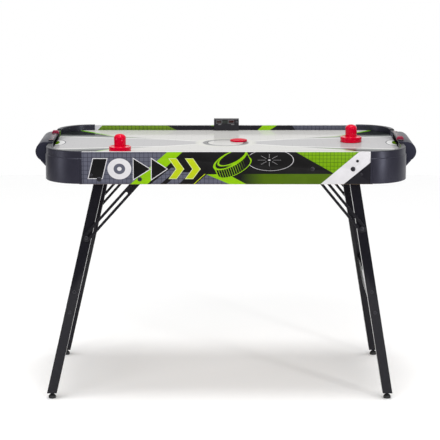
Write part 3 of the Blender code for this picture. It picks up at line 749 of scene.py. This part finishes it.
CAP_RADIUS = 0.117          # outer radius in plan
CAP_DEPTH = 0.0178          # from the outer face to the inner one
CAP_GAP = 0.0003            # clearance around the boards and above the field
CAP_STEP = 0.019            # how far the step in the outer face lies below the rails' top
CAP_SKIN = 0.0016           # how deep the shaping of the ends reaches into the section
CAP_ARC_STEPS = 26

# How far the outer face stands out near each end of a cap, as (distance, amount) pairs: first
# on the flange, at a distance outside the round corner, then in the groove, at one inside it
CAP_FLANGE = ((0.0050, -0.0006), (0.0044, 0.0))
CAP_GROOVE = ((0.0010, 0.0), (0.0016, -0.0010), (0.0028, -0.0010), (0.0040, -0.0001))


def cap_profile(bottom, top):
    """Section of a corner cap as (radius, z) points."""
    outer, inner = CAP_RADIUS, CAP_RADIUS - CAP_DEPTH
    board_out = outer - (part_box("corner_cap_right_rear")[1].y - BOARD_Y)
    skirt, lip = board_out + CAP_GAP, board_out - BOARD - CAP_GAP
    web, step = RAIL_TOP + CAP_GAP, RAIL_TOP - CAP_STEP
    foot_round, step_round, rim_round, inner_round = 0.0010, 0.0024, 0.0026, 0.0024
    points = [(inner, FIELD_TOP + CAP_GAP), (lip, FIELD_TOP + CAP_GAP), (lip, web), (skirt, web),
              (skirt, bottom)]
    points += arc((outer - foot_round, bottom + foot_round), foot_round, -90, 0, 4)
    points += arc((outer - step_round, step - 0.0036), step_round, 0, 75, 6)
    points += [(outer - 0.0020, step - 0.0010), (outer - 0.0024, step)]
    points += arc((outer - 0.0022 - rim_round, top - rim_round), rim_round, 0, 90, 6)
    points += arc((inner + inner_round, top - inner_round), inner_round, 90, 180, 4)
    return points


def cap_stations(x, y):
    """Stations of the section along a cap, about its centre: (x, y, degrees, standing out)."""
    groove = [(math.degrees(d / CAP_RADIUS), amount) for d, amount in CAP_GROOVE]
    first = groove[-1][0]
    stations = [(x - d, y, 90.0, amount) for d, amount in CAP_FLANGE]
    stations += [(x, y, 90.0 - turn, amount) for turn, amount in groove]
    stations += [(x, y, 90.0 - first - (90.0 - 2 * first) * k / CAP_ARC_STEPS, 0.0)
                 for k in range(1, CAP_ARC_STEPS)]
    stations += [(x, y, turn, amount) for turn, amount in reversed(groove)]
    stations += [(x, y - d, 0.0, amount) for d, amount in reversed(CAP_FLANGE)]
    return stations


def make_caps():
    """The corner caps: one section swept round a corner, mirrored to all four."""
    low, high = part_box("corner_cap_right_rear")
    profile = cap_profile(low.z, high.z)
    stations = cap_stations(high.x - CAP_RADIUS, high.y - CAP_RADIUS)
    for side, sx in SIDES.items():
        for end, sy in ENDS.items():
            bm = bmesh.new()
            rings = []
            for x, y, turn, amount in stations:
                place = (Matrix.Diagonal((sx, sy, 1, 1)) @ Matrix.Translation((x, y, 0))
                         @ Matrix.Rotation(math.radians(turn), 4, "Z"))
                ring = []
                for r, z in profile:
                    nearness = max(0.0, 1.0 - (CAP_RADIUS - r) / CAP_SKIN)
                    out = r + amount * min(1.0, nearness * 2)
                    ring.append(bm.verts.new(place @ Vector((out, 0, z))))
                rings.append(ring)
            bridge(bm, rings)
            name = f"corner_cap_{side}_{end}"
            add_piece(name + "_look", finish(bm, name, sharp=32.0), CAP_LOOK, "table", name)


# ---------------------------------------------------------------- loose pieces

def mallet_profile(base, tall):
    """Half section of a mallet with this base radius and height, as (radius, z) points."""
    knob, dome, rim, floor = 0.0190, 0.0125, 0.0175, 0.0160
    points = [(knob * math.sin(a), tall - dome + dome * math.cos(a))
              for a in (math.radians(7.5 * i) for i in range(13))]
    points += [(knob - 0.0001, 0.0330), (knob - 0.0003, 0.0215)]
    points += arc((knob + 0.0027, 0.0195), 0.0035, 180, 270, 5)
    # The dish around the knob and the base's rim
    points += [(base - 0.0060, floor)]
    points += arc((base - 0.0060, floor + 0.0011), 0.0011, -90, 0, 3)[1:]
    points += [(base - 0.0040, rim)]
    points += arc((base - 0.0018, rim - 0.0018), 0.0018, 90, 0, 5)
    # The line around the base, and its foot
    points += [(base, 0.0085), (base - 0.0006, 0.0080), (base - 0.0006, 0.0066), (base, 0.0061)]
    points += arc((base - 0.0020, 0.0020), 0.0020, 0, -90, 4)
    return points + [(0, 0)]


def make_mallets():
    """The mallets: a domed knob on a round base with a dished top."""
    for side in SIDES:
        name = "mallet_" + side
        low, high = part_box(name)
        profile = mallet_profile((high.x - low.x) / 2, high.z - low.z)
        add_piece(name + "_look", lathe(name, profile, standing_on(low, high)), RED_LOOK, name, name)


def make_puck():
    """A puck with rounded edges and a shallow recess in its top."""
    low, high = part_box("puck")
    radius, tall = (high.x - low.x) / 2, high.z - low.z
    recess, edge = 0.0005, 0.0012
    profile = [(0, tall - recess), (radius * 0.62, tall - recess), (radius * 0.66, tall)]
    profile += arc((radius - edge, tall - edge), edge, 90, 0, 4)
    profile += arc((radius - edge, edge), edge, 0, -90, 4) + [(0, 0)]
    add_piece("puck_look", lathe("puck", profile, standing_on(low, high)), PUCK_LOOK, "puck", "puck")


# ---------------------------------------------------------------- small screws

SCREW_SIDES = 18
# Shares of a head's radius and height, from its foot to the bottom of its sunk middle
SCREW_OUTLINE = ((1.0, 0.0), (1.0, 0.35), (0.82, 0.85), (0.62, 1.0), (0.44, 1.0), (0.40, 0.55))
SCREW_SIZE = (0.0045, 0.0014)           # radius and height of a head
APRON_SCREWS = ((0.4075, 0.7744), (0.4207, 0.7330), (-0.4187, 0.7308))      # along a side, and z
BOLT_SIZE = (0.0060, 0.0022)
BOLT_INSET = 0.010          # below a crossbar's top edge and above its lower edge


def screw_mesh(name, places, radius, height):
    """Round screw heads with a sunk middle, standing on their places along +Z."""
    bm = bmesh.new()
    turns = [2 * math.pi * i / SCREW_SIDES for i in range(SCREW_SIDES)]
    for place in places:
        bridge(bm, [[bm.verts.new(place @ Vector((radius * r * math.cos(a), radius * r * math.sin(a),
                                                  height * z))) for a in turns]
                    for r, z in SCREW_OUTLINE])
    return finish(bm, name)


def outward(x, y, z, sy):
    """A place on a face that looks along Y, with its Z pointing out."""
    return Matrix.Translation((x, y, z)) @ Matrix.Rotation(math.radians(-90 * sy), 4, "X")


def make_apron_screws():
    """The small screws of the long sides."""
    for end, sy in ENDS.items():
        name = "apron_screws_" + end
        places = [outward(-sy * u, sy * BOARD_Y, z, sy) for u, z in APRON_SCREWS]
        add_piece(name, screw_mesh(name, places, *SCREW_SIZE), STEEL_LOOK, "table")


def make_crossbar_bolts():
    """The bolts that hold the crossbars to the legs, on each leg's axis."""
    joints = {j["name"]: j for j in RECORD["behaviour"]["joints"]}
    for side in SIDES:
        for end, sy in ENDS.items():
            pivot = Vector(joints["leg_fold_" + side]["pos_m"])
            foot = Vector(joints[f"foot_turn_{side}_{end}"]["pos_m"])
            leg_low, leg_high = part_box(f"leg_{side}_{end}")
            along = Vector((foot.x - pivot.x, 0.0, leg_low.z - pivot.z)).normalized()
            face = leg_high.y if sy > 0 else leg_low.y
            bar_low, bar_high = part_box("crossbar_" + side)
            places = []
            for z in (bar_high.z - BOLT_INSET, bar_low.z + BOLT_INSET):
                spot = pivot + along * ((z - pivot.z) / along.z)
                places.append(outward(spot.x, face, z, sy))
            name = f"crossbar_bolts_{side}_{end}"
            add_piece(name, screw_mesh(name, places, *BOLT_SIZE), STEEL_LOOK,
                      side + "_leg_set")


# ---------------------------------------------------------------- frame nodes

def refine_frame():
    """Rounded copies of the CAD nodes that aren't modelled above, each with its material."""
    for end in ENDS:
        refine(end + "_apron", APRON_LOOK, bevel=0.0006)
    for side in SIDES:
        refine(side + "_end_rail", RAIL_LOOK, bevel=0.0006)
        refine("goal_hood_" + side, HOOD_LOOK, bevel=0.0008, segments=3, least_angle=25.0)
        refine("goal_tray_" + side, HOOD_LOOK, bevel=0.0008)
        refine("score_rail_" + side, SCALE_LOOK, bevel=0.0006)
        refine("score_slider_" + side, SLIDER_LOOK, bevel=0.0022, segments=4, least_angle=20.0)
        refine("crossbar_" + side, BAR_LOOK, bevel=0.0012, segments=3)
        for end in ENDS:
            refine(f"leg_{side}_{end}", LEG_LOOK, bevel=0.0020, segments=3, least_angle=40.0)
            refine(f"leg_plug_{side}_{end}", RUBBER_LOOK, bevel=0.0006)
            refine(f"brace_{side}_{end}", BRACE_LOOK, bevel=0.0004)
            for stem in ("leg_bolt", "brace_rivet", "slot_pin"):
                refine(f"{stem}_{side}_{end}", STEEL_LOOK)
            refine(f"foot_{side}_{end}", RUBBER_LOOK)
    refine("playfield", FIELD_LOOK)
    for node in ("chamber_frame", "bottom_panel"):
        refine(node, BOARD_LOOK, bevel=0.0004, segments=1)
    refine("fan_housing", FAN_LOOK)
    refine("fan_impeller", FAN_LOOK)
    refine("fan_motor", STEEL_LOOK)
    refine("power_rocker", FAN_LOOK, bevel=0.0005, least_angle=20.0)
    refine("dc_socket", FAN_LOOK)
    refine("scoreboard_housing", SCOREBOARD_LOOK, bevel=0.0007, segments=3)
    refine("scoreboard_window", WINDOW_LOOK)
    refine("reset_button", BUTTON_LOOK)


# ---------------------------------------------------------------- stage, light and camera

WHITE = (1.0, 1.0, 1.0)
FLOOR_LEVEL = -0.0002
FLOOR_LEFT, FLOOR_RIGHT, FLOOR_FRONT, FLOOR_REAR = -2.6, 2.6, -1.3, 4.0
CAMERA_PLACE = (-0.0188, -5.672, 1.640)
CAMERA_DIP = 11.08          # degrees below level
LIGHTS_AIM = (0.0, 0.0, 0.72)


def make_stage():
    """A plain pale floor."""
    mesh = bpy.data.meshes.new("studio_floor")
    bm = bmesh.new()
    corners = ((FLOOR_LEFT, FLOOR_FRONT), (FLOOR_RIGHT, FLOOR_FRONT), (FLOOR_RIGHT, FLOOR_REAR),
               (FLOOR_LEFT, FLOOR_REAR))
    bm.faces.new([bm.verts.new((x, y, FLOOR_LEVEL)) for x, y in corners])
    bm.to_mesh(mesh)
    bm.free()
    floor = bpy.data.objects.new("studio_floor", mesh)
    bpy.context.scene.collection.objects.link(floor)
    look = Look("studio_floor_paint", (0.94, 0.94, 0.94), 0.9, specular_IOR_level=0.0)
    look.set("Emission Color", WHITE)
    look.set("Emission Strength", 0.05)
    mesh.materials.append(look.material)


def make_world():
    """A white studio: plain white to look at, and lighting that is weaker from the front."""
    world = bpy.data.worlds.new("studio_world")
    world.use_nodes = True
    graph = Graph(world.node_tree)
    background = graph.node("ShaderNodeBackground")
    output = graph.node("ShaderNodeOutputWorld")
    graph.put(output.inputs["Surface"], background.outputs[0])
    split = graph.node("ShaderNodeSeparateXYZ")
    graph.put(split.inputs[0], graph.node("ShaderNodeTexCoord").outputs["Generated"])
    x, y, z = (Num(graph, socket) for socket in split.outputs)
    rear = graph.map_range(y + x * 0.3, 0.30, 0.80, 0.0, 0.9, "SMOOTHSTEP")
    above = graph.map_range(z, 0.15, 0.75, 0.0, 0.56, "SMOOTHSTEP")
    faintest = 0.16
    seen = Num(graph, graph.node("ShaderNodeLightPath").outputs["Is Camera Ray"])
    graph.put(background.inputs["Color"], WHITE)
    graph.put(background.inputs["Strength"], rear.max(above).max(faintest).max(seen))
    bpy.context.scene.world = world
    bpy.context.scene.view_settings.view_transform = "Standard"


def add_light(light, name, place, direction):
    """Put a light into the scene, shining in a direction."""
    obj = bpy.data.objects.new(name, light)
    obj.location = place
    obj.rotation_mode = "QUATERNION"
    obj.rotation_quaternion = Vector(direction).to_track_quat("-Z", "Y")
    bpy.context.scene.collection.objects.link(obj)


def add_sun(name, direction, strength, angle):
    """A far light whose disc is this many degrees wide."""
    light = bpy.data.lights.new(name, "SUN")
    light.energy = strength
    light.angle = math.radians(angle)
    add_light(light, name, (0, 0, 3), direction)


def add_softbox(name, place, size, power):
    """A rectangular light that faces the table."""
    light = bpy.data.lights.new(name, "AREA")
    light.shape = "RECTANGLE"
    light.size, light.size_y = size
    light.energy = power
    add_light(light, name, place, Vector(LIGHTS_AIM) - Vector(place))


def make_lights():
    """Soft light from above and from the front, and a strip on each side."""
    add_sun("top_light", direction=(-0.03, 0.06, -1.0), strength=1.26, angle=22.0)
    add_softbox("front_softbox", place=(-0.5, -3.2, 3.1), size=(4.0, 2.2), power=79.0)
    add_softbox("right_strip", place=(2.7, -3.2, 0.9), size=(0.30, 2.2), power=56.0)
    add_softbox("left_strip", place=(-3.35, -1.35, 0.9), size=(1.1, 1.7), power=20.0)


def make_camera():
    """A long lens in front of the table, looking a little down on it."""
    data = bpy.data.cameras.new("camera")
    data.sensor_width = 36.0
    data.lens = 143.5
    data.clip_end = 60.0
    camera = bpy.data.objects.new("camera", data)
    camera.location = CAMERA_PLACE
    camera.rotation_euler = (math.radians(90 - CAMERA_DIP), 0.0, 0.0)
    bpy.context.scene.collection.objects.link(camera)
    bpy.context.scene.camera = camera


make_camera()
make_caps()
make_mallets()
make_puck()
make_apron_screws()
make_crossbar_bolts()
refine_frame()
make_stage()
make_world()
make_lights()

bpy.context.view_layer.update()
